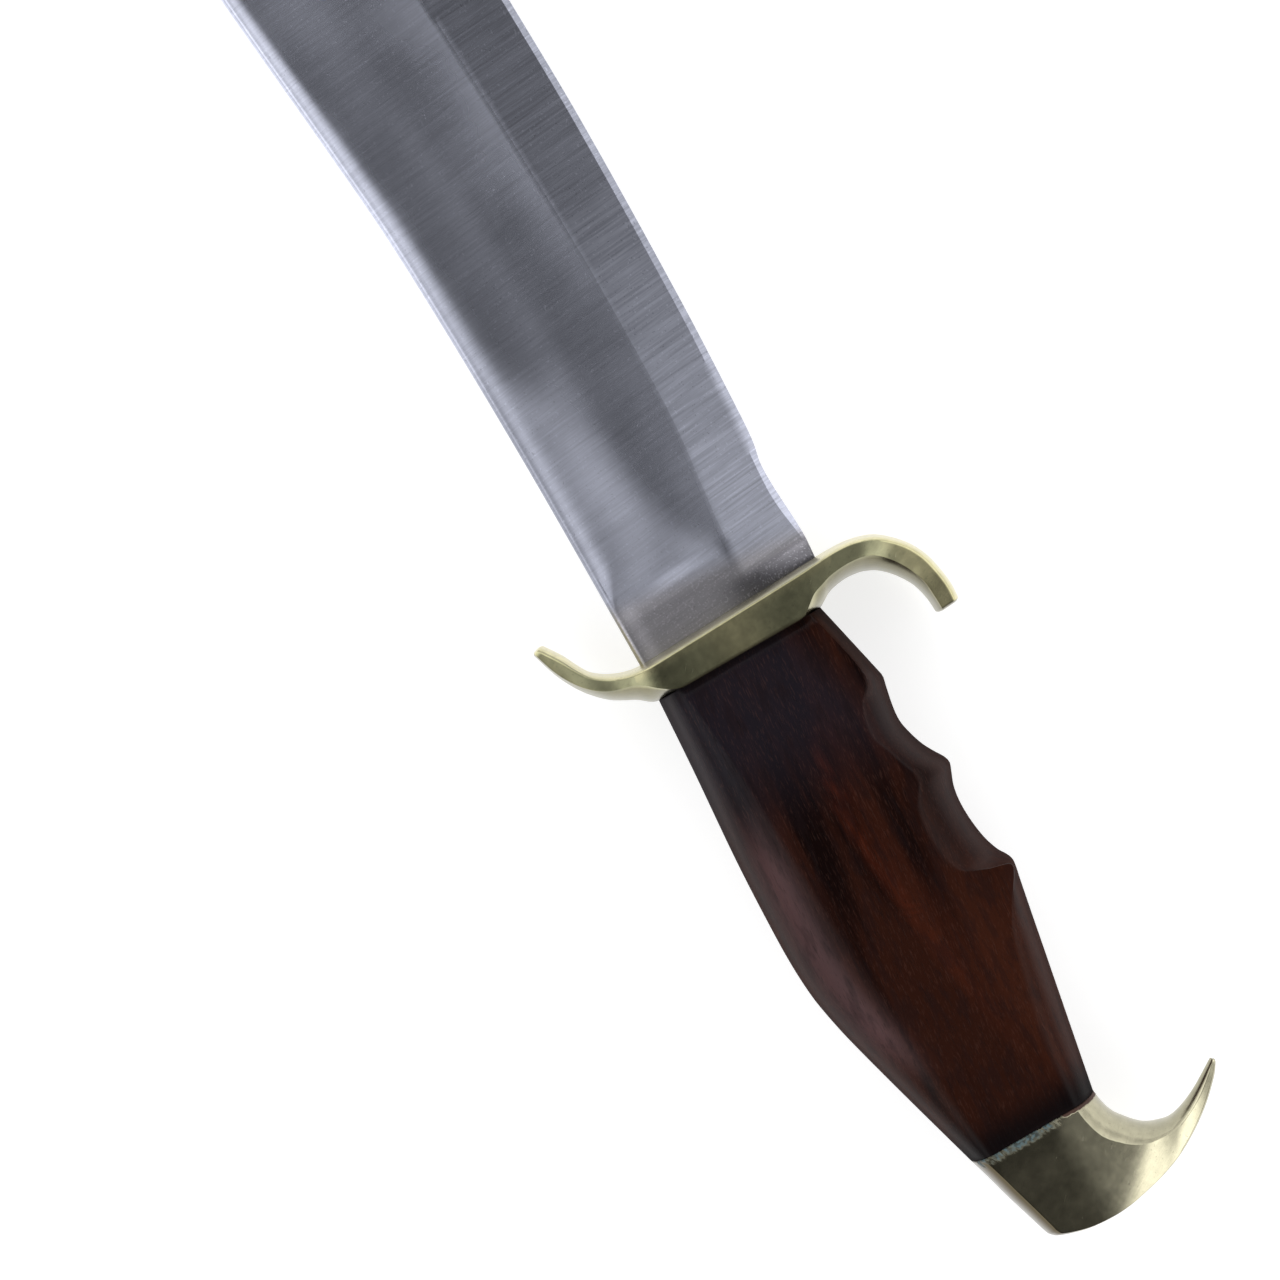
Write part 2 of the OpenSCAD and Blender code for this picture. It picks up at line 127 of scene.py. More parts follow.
# Pommel stations from the wood round to the beak: outer x, y, inner x, y, half-width, outer crown,
# inner crown
POMMEL = [(0, 12.4, 0, -15.1, 10, 2.2, 5), (-4.7, 11, -2.2, -15.4, 9.84, 2.2, 5),
          (-9.5, 9.7, -4.2, -15.9, 9.68, 2.2, 5), (-14.7, 8.1, -5.6, -16.5, 9.53, 2.1, 5),
          (-18.6, 6.9, -6.5, -17.1, 9.41, 2, 4.9), (-19.9, 6.3, -7, -17.5, 9.36, 1.8, 4.8),
          (-20.8, 4.8, -7.5, -17.9, 9.3, 1.3, 4.7), (-22.2, 0, -8.8, -19, 9.13, 1.1, 4.4),
          (-22.7, -5, -10.1, -20.4, 8.88, 1, 4), (-22.6, -9, -11, -22, 8.47, 1, 3.6),
          (-22, -13, -11.6, -23.8, 7.8, 1, 3.1), (-21, -18, -11.9, -25.4, 6.7, 1, 2.7),
          (-19.4, -23, -11.6, -27.4, 5.2, 0.9, 2.4), (-16.8, -28, -10.7, -29.9, 3.9, 0.8, 2),
          (-13.6, -32.6, -9.2, -32.9, 2.8, 0.7, 1.6), (-9.9, -36.6, -7.3, -36, 2, 0.6, 1),
          (-7.6, -38.4, -6.3, -37.6, 1.5, 0.4, 0.6), (-6.7, -38.7, -6.1, -38, 1.2, 0.25, 0.3)]


# ----------------------------------------------------------------------------------------------------
# Curves and lofts
# ----------------------------------------------------------------------------------------------------
def fade(x, low, high):
    """0 below low, 1 above high, and smooth between them."""
    t = np.clip((x - low) / (high - low), 0, 1)
    return t * t * (3 - 2 * t)


def bump(x, middle, width):
    """1 at the middle, falling smoothly to nothing about two widths away."""
    return np.exp(-((x - middle) / width) ** 2)


def segment(table, x):
    """Number of the stretch of a table that holds x."""
    xs = np.array([row[0] for row in table], float)
    return np.clip(np.searchsorted(xs, x, side="right") - 1, 0, len(xs) - 2)


def curve(table, x):
    """Smooth curve through a table of (x, value)."""
    xs, ys = np.array(table, float).T
    ahead = np.minimum(np.arange(len(xs)) + 1, len(xs) - 1)
    behind = np.maximum(np.arange(len(xs)) - 1, 0)
    slopes = (ys[ahead] - ys[behind]) / (xs[ahead] - xs[behind])
    i = segment(table, x)
    run = xs[i + 1] - xs[i]
    t = np.clip((x - xs[i]) / run, 0, 1)
    u = 1 - t
    return (ys[i] * u * u * (1 + 2 * t) + slopes[i] * run * t * u * u
            + ys[i + 1] * t * t * (1 + 2 * u) - slopes[i + 1] * run * t * t * u)


def smooth_rows(rows, steps):
    """Smooth curve through whole rows of numbers, with each gap cut into steps."""
    rows = np.array(rows, float)
    made = []
    for i in range(len(rows) - 1):
        a, b, c, d = rows[max(i - 1, 0)], rows[i], rows[i + 1], rows[min(i + 2, len(rows) - 1)]
        for t in np.arange(steps) / steps:
            made.append(0.5 * (2 * b + (c - a) * t + (2 * a - 5 * b + 4 * c - d) * t ** 2
                               + (3 * b - a - 3 * c + d) * t ** 3))
    made.append(rows[-1])
    return np.array(made)


def crown(length, height, limit, steps):
    """Crown of a slab's end as (distance in, height), up to where it meets the side face.

    A limit of 90 degrees meets it smoothly, and a smaller one leaves a crease."""
    q = np.radians(limit) * np.arange(steps + 1) / steps
    top = np.radians(limit)
    return np.stack([length * (1 - np.cos(q)) / (1 - np.cos(top)), height * np.sin(q) / np.sin(top)], axis=1)


def slab(a, b, half, crown_a, limit_a, crown_b, limit_b, steps, face_steps):
    """Half outline of a slab that spans from a to b, crowned at both ends, as points (x, y, height)."""
    a, b = np.array(a, float), np.array(b, float)
    span = np.linalg.norm(b - a)
    along = (b - a) / span
    near, far = crown(crown_a, half, limit_a, steps), crown(crown_b, half, limit_b, steps)
    face_start, face_end = crown_a, span - crown_b
    # Points beside each crease keep it crisp
    hold = min(0.3, (face_end - face_start) / 8)
    places = np.concatenate([[face_start + hold], np.linspace(face_start, face_end, face_steps + 1)[1:-1],
                             [face_end - hold]])
    face = np.stack([places, np.full(len(places), half)], axis=1)
    back = np.stack([span - far[::-1, 0], far[::-1, 1]], axis=1)
    top = np.concatenate([near, face, back])
    return np.stack([a[0] + along[0] * top[:, 0], a[1] + along[1] * top[:, 0], top[:, 1]], axis=1)


def mirrored(top):
    """Closes a half outline that starts and ends at height 0."""
    low = top[-2:0:-1].copy()
    low[:, 2] *= -1
    return np.concatenate([top, low])


def eased(rings, radius):
    """Adds smaller rings at both ends, so that the edge round each end face is rounded."""
    rings = list(rings)
    made = []
    for ring, following in ((rings[0], rings[1]), (rings[-1], rings[-2])):
        middle = ring.mean(axis=0)
        out = ring - middle
        shrink = 1 - radius / np.linalg.norm(out, axis=1).min()
        inward = (following.mean(axis=0) - middle) / np.linalg.norm(following.mean(axis=0) - middle)
        made.append([middle + out * shrink, middle + out * (1 + shrink * 2) / 3 + inward * radius * 0.3])
        ring += inward * radius
    return [made[0][0], made[0][1]] + rings + [made[1][1], made[1][0]]


# ----------------------------------------------------------------------------------------------------
# Meshes
# ----------------------------------------------------------------------------------------------------
def new_piece(name, points, faces):
    """A mesh object from points in millimetres, whose heights are measured from the middle plane."""
    points = np.array(points, float)
    points[:, 2] += MID_Z
    mesh = bpy.data.meshes.new(name)
    mesh.from_pydata((points * MM).tolist(), [], faces)
    mesh.update()
    piece = bpy.data.objects.new(name, mesh)
    bpy.context.scene.collection.objects.link(piece)
    return piece


def skin(name, rings):
    """A closed skin over rings of points, with a flat cap at each end."""
    rings = np.array(rings, float)
    count, size = rings.shape[:2]
    faces = [list(range(size))[::-1], [(count - 1) * size + j for j in range(size)]]
    for r in range(count - 1):
        for j in range(size):
            k = (j + 1) % size
            faces.append([r * size + j, r * size + k, (r + 1) * size + k, (r + 1) * size + j])
    return new_piece(name, rings.reshape(-1, 3), faces)


def prism(outline, height):
    """A prism along z, from -height to height, over an outline of (x, y)."""
    count = len(outline)
    points = [(x, y, z) for z in (-height, height) for x, y in outline]
    sides = [[j, (j + 1) % count, count + (j + 1) % count, count + j] for j in range(count)]
    return new_piece("prism", points, [list(range(count))[::-1], list(range(count, 2 * count))] + sides)


def bar(outline, from_x, to_x):
    """A bar along x over an outline of (y, z)."""
    return skin("bar", [[(x, y, z) for y, z in outline] for x in (from_x, to_x)])


def stadium(width, height, steps=12):
    """Outline with round ends, width by height."""
    q = np.radians(np.linspace(-90, 90, steps + 1))
    half = (width - height) / 2
    right = [(half + height / 2 * math.cos(a), height / 2 * math.sin(a)) for a in q]
    return right + [(-y, -z) for y, z in right]


def combine(piece, cutter, operation):
    """Cuts the cutter out of the piece, or joins the two."""
    tidy_normals(piece)
    tidy_normals(cutter)
    step = piece.modifiers.new("cut", "BOOLEAN")
    step.operation = operation
    step.solver = "EXACT"
    step.object = cutter
    result = bpy.data.meshes.new_from_object(piece.evaluated_get(bpy.context.evaluated_depsgraph_get()))
    piece.modifiers.clear()
    piece.data = result
    bpy.data.objects.remove(cutter)


def tidy_normals(piece):
    work = bmesh.new()
    work.from_mesh(piece.data)
    bmesh.ops.recalc_face_normals(work, faces=work.faces)
    work.to_mesh(piece.data)
    work.free()


def shade(piece, crease_deg):
    """Smooth shading that keeps every edge sharper than the crease angle."""
    tidy_normals(piece)
    piece.data.shade_smooth()
    piece.data.set_sharp_from_angle(angle=math.radians(crease_deg))


def points_of(piece):
    """A piece's own points in millimetres, with heights from the middle plane."""
    co = np.empty(len(piece.data.vertices) * 3)
    piece.data.vertices.foreach_get("co", co)
    co = co.reshape(-1, 3) / MM
    co[:, 2] -= MID_Z
    return co


def normals_of(piece):
    """Directions that a piece's points face, as three rows."""
    normals = np.empty(len(piece.data.vertices) * 3)
    piece.data.vertices.foreach_get("normal", normals)
    return normals.reshape(-1, 3).T


def level_share(piece):
    """1 where the surface faces straight up or down, falling to 0 where it stands on edge."""
    return fade(abs(normals_of(piece)[2]), 0.55, 0.9)


def paint(piece, **layers):
    """Stores numbers for the materials, one for each point."""
    for name, values in layers.items():
        layer = piece.data.attributes.new(name, "FLOAT", "POINT")
        spread = np.broadcast_to(values, len(piece.data.vertices))
        layer.data.foreach_set("value", np.ascontiguousarray(spread, np.float32))


def uneven(rings, size, depth, seed, hold=None):
    """Moves a hand-finished surface up and down by a smooth noise, in millimetres, on both sides."""
    for ring in rings:
        for p in ring:
            weight = depth if hold is None else depth * hold(p)
            lift = noise.noise(Vector((p[0] / size, p[1] / size, math.copysign(seed, p[2]))))
            p[2] += math.copysign(weight * lift, p[2]) if abs(p[2]) > 0.3 else 0
    return rings


# ----------------------------------------------------------------------------------------------------
# Blade
# ----------------------------------------------------------------------------------------------------
def blade_half(x):
    """Half outline of the blade's section at x, from the spine to the edge, as (y, height)."""
    full = BLADE_HALF * curve(TAPER, x)
    clip = curve(CLIP_SHARE, x)
    flat_z = full + (SWEDGE_HALF - full) * clip
    corner = min(SPINE_ROUND, flat_z * 0.6)
    spine, ridge, bevel, edge = curve(SPINE, x), curve(RIDGE, x), curve(BEVEL, x), curve(EDGE, x)
    shoulder = spine - corner
    band = min(shoulder - 0.2, spine - curve(SPINE_BAND, x))
    hollow = fade(x, *PLUNGE)
    roll = SPINE_ROLL * min(1, (shoulder - band) / 3.4) * (1 - clip) * hollow
    top = flat_z - roll
    ground = fade(x, 3.5, RICASSO_END)
    dip = HOLLOW_DEPTH * hollow * full / BLADE_HALF
    bevel_z = full * 0.97 + (min(BEVEL_HALF, full * 0.7) - full * 0.97) * ground
    ridge_z = full * (1 - 0.06 * ground)
    low_z = full * 0.9 + (0.05 - full * 0.9) * ground
    rows = [(spine, 0), (spine - corner * 0.04, top - corner)]
    for q in np.radians(np.arange(11.25, 90, 11.25)):
        rows.append((spine - corner * (1 - math.cos(q)), top - corner * (1 - math.sin(q))))
    for f in np.arange(0, 6) / 6:
        rows.append((shoulder + (band - shoulder) * f, flat_z + (full - flat_z) * f - roll * (1 - f) ** 2))
    for f in np.arange(0, 26) / 26:
        hollowed = math.sin(math.pi * f) ** (2 if f < 0.5 else 1)
        rows.append((band + (ridge - band) * f, full + (ridge_z - full) * f - dip * hollowed))
    for f in np.arange(0, 12) / 12:
        rows.append((ridge + (bevel - ridge) * f, ridge_z + (bevel_z - ridge_z) * f))
    low_y = edge + 0.12
    rows += [(bevel, bevel_z), ((bevel + low_y) / 2, (bevel_z + low_z) / 2), (low_y, low_z), (edge, 0)]
    return rows


def tang_outline():
    root_x = SHOULDER_X + 4
    upper = [(root_x, TANG_HALF_W), (SEAT_X, TANG_HALF_W), (TANG_END_X, TANG_END_HALF_W)]
    return upper + [(x, -y) for x, y in reversed(upper)]


def blade():
    steps = np.concatenate([np.arange(0, 24, 0.5), np.arange(24, 270, 1.1), np.arange(270, BLADE_LEN, 0.5),
                            [BLADE_LEN]])
    rings = []
    for step in steps:
        half = np.array(blade_half(SHOULDER_X + step))
        x = np.full(len(half), SHOULDER_X + step)
        if step == 0:
            x = SHOULDER_X + SHOULDER_SLOPE * half[:, 0]
        rings.append(mirrored(np.stack([x, half[:, 0], half[:, 1]], axis=1)))

    def inside(p):
        bevel = curve(BEVEL, p[0])
        return float(fade(p[1], bevel, bevel + 4) * fade(curve(SPINE, p[0]) - p[1], 1, 4))

    piece = skin("blade_ground", uneven(rings, 14, 0.035, 3, inside))
    combine(piece, prism(tang_outline(), TANG_HALF_T), "UNION")
    shade(piece, 12)
    x, y, _ = points_of(piece).T
    from_ridge = y - curve(RIDGE, x)
    # Slanting line above which the hollow carries a painted highlight
    bright_from = curve([(12, -9), (22, 0), (35, 4.5), (48, 7.5), (58, 11), (68, 14.5), (85, 16.6), (110, 19),
                         (150, 23.4), (292, 20)], x)
    on_bevel = fade(from_ridge, 0.35, -0.35)
    # Painted shade: the bevel darkens from the guard towards the point, and the hollow darkens beside the
    # ridge between x 12 and 90
    bevel_tone = curve([(3, 1.05), (12, 1.03), (20, 0.98), (30, 0.9), (50, 0.72), (70, 0.59), (90, 0.56),
                        (292, 0.56)], x)
    by_ridge = fade(from_ridge, 9, 1) * (1 - on_bevel) * fade(x, 12, 18) * (1 - fade(x, 55, 90))
    from_spine = curve(SPINE, x) - y
    paint(piece,
          # tone paints light and shade: the darker bevel further out, a painted highlight beside the spine by
          # the guard, lighter flats from x 75 on, painted shade beside the ridge, within 3 mm of the spine up
          # to x 75, and in a band about 10 mm in from the spine between x 52 and 150
          tone=(1 + (bevel_tone - 1) * on_bevel) * (1 + 0.5 * fade(y, 14, 17) * (1 - fade(x, 11, 15)))
          * (1 + 0.18 * fade(x, 75, 100) * (1 - on_bevel)) * (1 - 0.22 * by_ridge)
          * (1 - 0.35 * fade(from_spine, 3, 1) * (1 - fade(x, 55, 75)))
          * (1 - 0.4 * bump(from_spine, 10.5, 5.5) * fade(x, 52, 66) * (1 - fade(x, 110, 150))),
          bevel=on_bevel * fade(x, 6, 10),
          # Painted highlight, and rougher steel, over the hollow above that line from x 9 to 190, clear of
          # the ridge
          sheen=fade(y - bright_from, -4, 4) * fade(x, 9, 14) * (1 - fade(x, 100, 190))
          * fade(from_ridge, 0.3, 3),
          # Painted highlight along the hollow just above the ridge from x 55 on, fading within a few
          # millimetres; a little rougher too
          glow=np.exp(-np.maximum(from_ridge, 0) / 4) * fade(x, 55, 95) * fade(from_ridge, 0, 0.4),
          # Painted shade at the heel: the edge side of the blade within about 9 mm of the guard
          grime=(1 - fade(x, 5.5, 9.5)) * fade(y, 3, -9),
          ricasso=1 - fade(x + 0.12 * (10 - y), 11, 15.5),
          far=fade(x, 60, 100))
    return piece


# ----------------------------------------------------------------------------------------------------
# Guard
# ----------------------------------------------------------------------------------------------------
def guard():
    rings = []
    for fx, fy, rx, ry, rear, share in smooth_rows(GUARD, 6):
        out = np.array([rx - fx, ry - fy])
        out /= np.linalg.norm(out)
        ring = slab((fx, fy), np.array([rx, ry]) + out * rear, GUARD_HALF * min(1, share),
                    GUARD_EDGE, 90, rear, GUARD_CREASE, 10, 8)
        seated = (ring[:, 1] > SEAT_Y[0]) & (ring[:, 1] < SEAT_Y[1])
        ring[seated, 0] = np.maximum(ring[seated, 0], SEAT_X)
        rings.append(mirrored(ring))
    piece = skin("guard_cast", eased(rings, 0.35))
    combine(piece, bar([(-TANG_HALF_W, -TANG_HALF_T), (TANG_HALF_W, -TANG_HALF_T), (TANG_HALF_W, TANG_HALF_T),
                        (-TANG_HALF_W, TANG_HALF_T)], SEAT_X - 1, SHOULDER_X + 2), "DIFFERENCE")
    shade(piece, 32)
    x, y, _ = points_of(piece).T
    level = level_share(piece)
    nx, ny, _ = normals_of(piece)
    paint(piece,
          # Painted shade: flat faces take the shaded colour, with painted highlights left along the middle of
          # the face, at the hook's end, near the spine quillon's end and beside the front edge; steep sides
          # stay lit
          dull=(1 - 0.85 * bump(y, 1, 6)) * (1 - 0.95 * fade(y, -30, -37)) * (1 - 0.35 * fade(y, 30, 36))
          * level * (1 - 0.6 * fade(x - SHOULDER_X - SHOULDER_SLOPE * y, -3.2, -1.6) * (abs(y) < 22)),
          # Painted shade: darker steep sides that face back or towards the spine, a darker face near the
          # spine quillon's end and on the hook side between y -17 and -30
          tone=(1 - 0.65 * (1 - level) * fade(ny - nx, 0, 0.6)) * (1 - 0.7 * level * bump(y, 28.5, 4))
          * (1 - 0.35 * level * fade(y, -15, -19) * (1 - fade(y, -27, -33))),
          # Painted shade in the crease where the guard's rear face meets the wood
          recess=bump(x, SEAT_X, 0.3) * (y > SEAT_Y[0]) * (y < SEAT_Y[1]))
    return piece


# ----------------------------------------------------------------------------------------------------
# Grip
# ----------------------------------------------------------------------------------------------------
def grip():
    steps = np.concatenate([np.arange(0, 6, 0.4), np.arange(6, 56, 0.8), np.arange(56, 64, 0.3),
                            np.arange(64, 108, 1), [108]])
    rings = []
    for u in steps:
        x = SEAT_X - u
        rings.append(mirrored(slab((x, curve(GRIP_BACK, u)), (x, curve(GRIP_BELLY, u)),
                                   GRIP_HALF * curve(GRIP_SHARE, u), curve(BACK_CROWN, u), BACK_CREASE,
                                   curve(BELLY_CROWN, u), curve(BELLY_CREASE, u), 18, 16)))

    def middle(p):
        return float(fade(SEAT_X - p[0], 2, 10) * fade(p[0] - WOOD_END_X, 1, 8))

    piece = skin("grip_rosewood", uneven(rings, 16, 0.12, 8, middle))
    slot_end = TANG_END_X - 2
    combine(piece, bar(stadium(SLOT_W, SLOT_T), slot_end, SEAT_X + 1), "DIFFERENCE")
    combine(piece, bar(stadium(BORE_D, BORE_D), WOOD_END_X - 1, slot_end + 1), "DIFFERENCE")
    shade(piece, 50)
    x, y, _ = points_of(piece).T
    u = SEAT_X - x
    streak = np.interp(u, [0, 9, 25, 39, 50, 75, 108], [-10, -7, -1, 0.3, -0.5, -4, -9])
    from_back = curve(GRIP_BACK, u) - y
    paint(piece,
          streak=np.maximum(bump(y, streak, 0.7 + 0.01 * u), 0.3 * bump(y, streak - 2.5, 3))
          * fade(u, 6, 24) * (1 - fade(u, 60, 100)),
          # Painted highlight: a lighter greyish-red band about 5 mm in from the spine-side outline, along the
          # grip's middle
          bloom=bump(from_back, 5.5, 3) * fade(u, 22, 42) * (1 - fade(u, 74, 92)),
          steep=1 - fade(abs(normals_of(piece)[2]), 0.1, 0.6),
          belly=fade(u, 48, 74) * fade(y - streak, 4, -5) * (1 - fade(u, 98, 107)),
          warm=fade(u, 30, 80),
          # Painted reflection: a bluish-grey tint on the spine-side half of the face near the guard
          cool=(1 - fade(u, 14, 38)) * fade(y + 0.3 * u, -12, -3),
          # Painted shade in a dark band where the wood meets the guard; the wood also darkens over the last 8
          # mm before the pommel
          ends=np.maximum(0.4 * (1 - fade(u, 0.3, 2)), fade(u, 99, 107)),
          # Painted light: steep sides of the wood take a plain red-brown colour by how steeply they stand,
          # and are rougher, most on the belly side
          flank=(1 - level_share(piece)) * (0.35 + 0.65 * (y < 0)))
    return piece


# ----------------------------------------------------------------------------------------------------
# Pommel
# ----------------------------------------------------------------------------------------------------
def pommel():
    rings = [mirrored(slab((WOOD_END_X + ax, ay), (WOOD_END_X + bx, by), half, outer, POMMEL_CREASE[0],
                           inner, POMMEL_CREASE[1], 10, 18))
             for ax, ay, bx, by, half, outer, inner in smooth_rows(POMMEL, 8)]
    piece = skin("pommel_beaked", eased(rings, 0.25))
    pocket = bar(stadium(POCKET_D, POCKET_D, 24), WOOD_END_X - POCKET_DEPTH, WOOD_END_X + 1)
    combine(piece, pocket, "DIFFERENCE")
    shade(piece, 32)
    x, y, z = points_of(piece).T
    u = WOOD_END_X - x
    level = level_share(piece)
    # The spine-side chamfer, which gets painted shade
    spine_side = fade(y - 12.4 + 0.3 * u, -5, -2) * (1 - fade(abs(normals_of(piece)[2]), 0.85, 0.99))
    paint(piece,
          # Painted shade on the flat faces of the pommel's spine half and on the spine-side chamfer; the beak
          # half keeps the lit colour as a painted highlight
          dull=np.maximum(fade(y, -9.5, -2.5) * level, spine_side),
          # tan: painted shade that darkens the spine-side chamfer to tan-brown
          tan=spine_side,
          # Painted shade on steep sides and on the top face's spine side next to the wood, with a painted
          # highlight on flat faces around the beak
          tone=(1 - 0.4 * (1 - level)) * (1 - 0.25 * (1 - fade(u, 2, 6)) * fade(y, -7, -3) * level)
          * (1 + 0.2 * bump(y, -25, 4) * level),
          corroded=(1 - fade(u, 0.3, 2.9)) * fade(y, -10, -4) * fade(abs(z), 5, 8),
          grubby=(1 - fade(u, 0.2, 1.6)) * fade(y, -6, -8))
    return piece


# ----------------------------------------------------------------------------------------------------
# Materials
# ----------------------------------------------------------------------------------------------------
class Graph:
    """Builds a material from short calls. Its places are millimetres in the knife's frame."""

    def __init__(self, name):
        self.material = bpy.data.materials.new(name)
        self.material.use_nodes = True
        self.tree = self.material.node_tree
        self.shader = self.tree.nodes["Principled BSDF"]
        where = self.node("TexCoord").outputs["Object"]
        self.place = self.node("VectorMath", {"Vector": where, "Scale": 1 / MM}, operation="SCALE").outputs[0]

    def node(self, kind, values=None, **settings):
        made = self.tree.nodes.new("ShaderNode" + kind)
        for key, value in settings.items():
            setattr(made, key, value)
        for key, value in (values or {}).items():
            self.put(made.inputs[key], value)
        return made

    def put(self, socket, value):
        if isinstance(value, bpy.types.NodeSocket):
            self.tree.links.new(value, socket)
        else:
            socket.default_value = value

    def math(self, operation, a, b=0.0):
        return self.node("Math", {0: a, 1: b}, operation=operation).outputs[0]

    def times(self, *values):
        product = values[0]
        for value in values[1:]:
            product = self.math("MULTIPLY", product, value)
        return product

    def plus(self, *values):
        total = values[0]
        for value in values[1:]:
            total = self.math("ADD", total, value)
        return total

    def between(self, share, low, high):
        """Number from low to high as share goes from 0 to 1."""
        return self.node("MapRange", {"Value": share, "To Min": low, "To Max": high}, clamp=False).outputs[0]

    def step(self, value, low, high):
        """0 below low, 1 above high, and smooth between them."""
        return self.node("MapRange", {"Value": value, "From Min": low, "From Max": high},
                         interpolation_type="SMOOTHSTEP").outputs[0]

    def mix(self, share, a, b):
        """Colour between a and b."""
        a, b = ((*c, 1) if isinstance(c, tuple) else c for c in (a, b))
        return self.node("Mix", {0: share, 6: a, 7: b}, data_type="RGBA").outputs[2]

    def dim(self, colour, share):
        """Colour multiplied by a number."""
        return self.node("VectorMath", {"Vector": colour, "Scale": share}, operation="SCALE").outputs[0]

    def layer(self, name):
        """A number painted on the piece."""
        return self.node("Attribute", attribute_name=name).outputs["Fac"]

    def noise(self, size, detail=2.0, turn=0, seed=0.0):
        """Noise from 0 to 1 with lumps of size (x, y, z), turned about z by so many degrees."""
        size = size if isinstance(size, tuple) else (size, size, size)
        where = self.node("Mapping", {"Vector": self.place, "Scale": size, "Location": (seed, seed, seed),
                                      "Rotation": (0, 0, math.radians(turn))}, vector_type="TEXTURE")
        made = self.node("TexNoise", {"Vector": where.outputs[0], "Scale": 1.0, "Detail": detail})
        return made.outputs["Fac"]

    def relief(self, *layers):
        """Bump from pairs of height and depth in millimetres."""
        normal = None
        for height, depth in layers:
            made = self.node("Bump", {"Height": height, "Distance": depth * MM})
            if normal:
                self.put(made.inputs["Normal"], normal)
            normal = made.outputs["Normal"]
        self.put(self.shader.inputs["Normal"], normal)

    def finish(self, **sockets):
        for name, value in sockets.items():
            value = (*value, 1) if isinstance(value, tuple) else value
            self.put(self.shader.inputs[name.replace("_", " ")], value)
        return self.material


def steel_look():
    """Satin steel: ground lines across the blade, tarnish clouds, pits and light specks, with painted
    highlights, painted shade at the heel, and the tone layer's painted light and shade.
    """
    g = Graph("satin_steel")
    layers = ("tone", "bevel", "sheen", "glow", "grime", "ricasso", "far")
    tone, bevel, sheen, glow, grime, ricasso, far = map(g.layer, layers)
    lines = g.noise((0.22, 7, 7), 2, turn=8)
    coarse_lines = g.noise((0.5, 16, 16), 2, turn=5, seed=7)
    specks = g.step(g.noise(0.5, 0, seed=51), 0.72, 0.78)
    cloud = g.noise(16, 3, seed=3)
    mottle = g.noise(1.6, 3, seed=11)
    pits = g.step(g.noise(0.45, 1, seed=5), 0.69, 0.73)
    bright_pits = g.times(g.step(g.noise(0.4, 1, seed=21), 0.60, 0.68), ricasso)
    colour = g.mix(ricasso, (0.52, 0.54, 0.64), (0.42, 0.41, 0.45))
    # Brightness: random tarnish clouds, two painted highlights and painted shade at the heel
    level = g.plus(g.between(cloud, 0.88, 1.12), g.times(sheen, 0.1), g.times(glow, 0.05),
                   g.times(grime, -0.68))
    ground = g.between(g.times(g.plus(coarse_lines, -0.5), g.between(bevel, 0.35, 0.9)), 1.0, 2.0)
    # Scaled by the tone layer, which paints light and shade
    level = g.times(level, tone, g.between(lines, 0.85, 1.15), ground, g.between(mottle, 0.95, 1.05))
    level = g.plus(level, g.times(pits, -0.2), g.times(bright_pits, 0.3), g.times(specks, 0.15))
    rough = g.plus(0.26, g.times(sheen, 0.12), g.times(bevel, g.between(far, 0.1, -0.02)),
                   g.times(glow, 0.03), g.times(ricasso, 0.1), g.times(g.plus(cloud, -0.5), 0.08))
    g.relief((lines, 0.0022), (coarse_lines, 0.004), (g.math("MULTIPLY", pits, -1.0), 0.006))
    return g.finish(Base_Color=g.dim(colour, level), Roughness=rough, Metallic=1.0)


def brass_base(g, bright_colour, dull, dull_colour):
    """Colour, roughness and relief of cast brass with handling marks, turned towards a darker shaded colour
    where a layer paints shade, and scaled by the tone layer, which paints light and shade.
    """
    cloud = g.noise(7, 3, seed=2)
    mottle = g.noise(1.6, 4, seed=12)
    lines = g.noise((0.3, 5, 5), 2, turn=30, seed=6)
    specks = g.step(g.noise(0.5, 1, seed=15), 0.68, 0.73)
    scratches = g.step(g.noise((0.1, 4, 4), 1, turn=50, seed=33), 0.78, 0.82)
    # Painted shade: mixes towards the shaded colour
    colour = g.mix(dull, bright_colour, dull_colour)
    level = g.times(g.between(cloud, 0.85, 1.15), g.between(mottle, 0.8, 1.2), g.between(lines, 0.92, 1.08))
    # The tone layer paints light and shade
    level = g.times(g.plus(level, g.times(specks, -0.2), g.times(scratches, 0.12)), g.layer("tone"))
    rough = g.plus(0.23, g.times(dull, -0.04), g.times(g.plus(cloud, -0.5), 0.12),
                   g.times(g.plus(mottle, -0.5), 0.06), g.times(scratches, 0.1))
    return g.dim(colour, level), rough, ((lines, 0.002), (mottle, 0.004), (cloud, 0.03))


def guard_look():
    g = Graph("guard_brass")
    # The second colour is the shaded colour used for painted shade
    colour, rough, relief = brass_base(g, (0.70, 0.65, 0.38), g.layer("dull"), (0.43, 0.425, 0.26))
    # Painted shade in the crease against the wood
    colour = g.mix(g.layer("recess"), colour, (0.12, 0.10, 0.06))
    g.relief(*relief)
    return g.finish(Base_Color=colour, Roughness=rough, Metallic=1.0)


